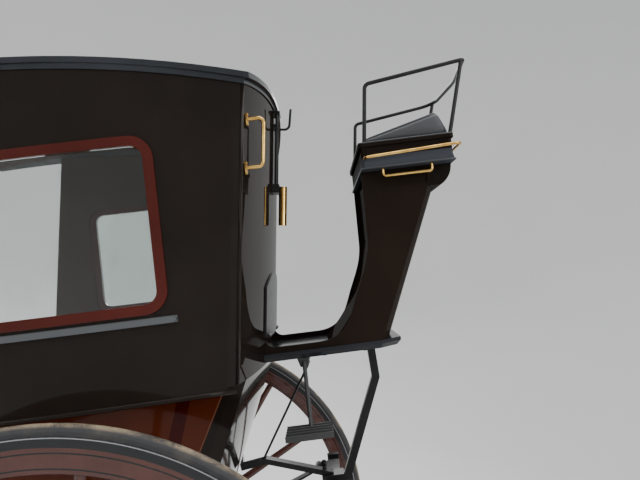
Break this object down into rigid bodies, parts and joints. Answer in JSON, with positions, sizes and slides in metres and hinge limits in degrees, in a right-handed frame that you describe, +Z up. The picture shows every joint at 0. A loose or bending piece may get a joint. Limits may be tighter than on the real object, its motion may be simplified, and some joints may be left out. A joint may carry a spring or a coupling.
{
  "type": "two-wheeled horse drawn cab",
  "caption": "Two-wheeled horse drawn cab with a closed body, rear driver's seat on a pedestal over a footboard, spoked wheels and a pair of shafts.",
  "frame": {"origin": "on the ground, in the middle of the parked cab's length and width", "axes": "+X forwards, towards the shaft tips, +Y to the cab's left, +Z up"},
  "size_m": [3.5022, 1.722, 2.4951],
  "materials": {
    "black_coachwork": "gloss",
    "maroon_panel": "gloss",
    "painted_wood": "satin",
    "shaft_wood": "gloss",
    "rubber": "matte",
    "brass": "polished",
    "leather": "satin",
    "glass": "clear",
    "iron": "satin"
  },
  "bodies": {
    "cab": {"axle": "iron", "back_cushion": "leather", "back_panel": "black_coachwork", "body_loop": "iron", "brass_rail": "brass", "cross_spring": "iron", "dash": "black_coachwork", "driver_cushion": "leather", "entry_step_left": "iron", "entry_step_right": "iron", "floor": "black_coachwork", "footboard": "black_coachwork", "grab_handle": "brass", "lower_back": "black_coachwork", "lower_side_left": "maroon_panel", "lower_side_right": "maroon_panel", "pedestal": "black_coachwork", "rear_iron": "iron", "rear_stay": "iron", "rein_bracket": "iron", "roof": "black_coachwork", "seat_box": "black_coachwork", "seat_cushion": "leather", "seat_rail": "iron", "shaft_left": "shaft_wood", "shaft_right": "shaft_wood", "side_panel_left": "black_coachwork", "side_panel_right": "black_coachwork", "side_spring_left": "iron", "side_spring_right": "iron", "step_tread": "iron", "toe_plate": "iron", "under_handle_left": "brass", "under_handle_right": "brass", "whip_socket": "brass", "window_frame_left": "maroon_panel", "window_frame_right": "maroon_panel", "window_glass_left": "glass", "window_glass_right": "glass"},
    "wheel_left": {"tyre_left": "rubber", "wheel_left": "painted_wood"},
    "wheel_right": {"tyre_right": "rubber", "wheel_right": "painted_wood"},
    "door_left": {"door_left": "black_coachwork"},
    "door_right": {"door_right": "black_coachwork"},
    "hatch": {"roof_hatch": "black_coachwork"}
  },
  "joints": [
    {"name": "wheel_left_turn", "type": "hinge", "parent": "cab", "child": "wheel_left", "pos_m": [-1.05116, 0.72, 0.7], "axis": [0, 1, 0], "continuous": true},
    {"name": "wheel_right_turn", "type": "hinge", "parent": "cab", "child": "wheel_right", "pos_m": [-1.05116, -0.72, 0.7], "axis": [0, 1, 0], "continuous": true},
    {"name": "door_left_swing", "type": "hinge", "parent": "cab", "child": "door_left", "pos_m": [-0.31576, 0.436, 0.75946], "axis": [-0.0027, 0, 1], "range_deg": [0, 90]},
    {"name": "door_right_swing", "type": "hinge", "parent": "cab", "child": "door_right", "pos_m": [-0.31576, -0.436, 0.75946], "axis": [0.0027, 0, -1], "range_deg": [0, 90]},
    {"name": "hatch_lift", "type": "hinge", "parent": "cab", "child": "hatch", "pos_m": [-0.59361, 0, 2.22738], "axis": [0, 1, 0], "range_deg": [0, 100]}
  ]
}
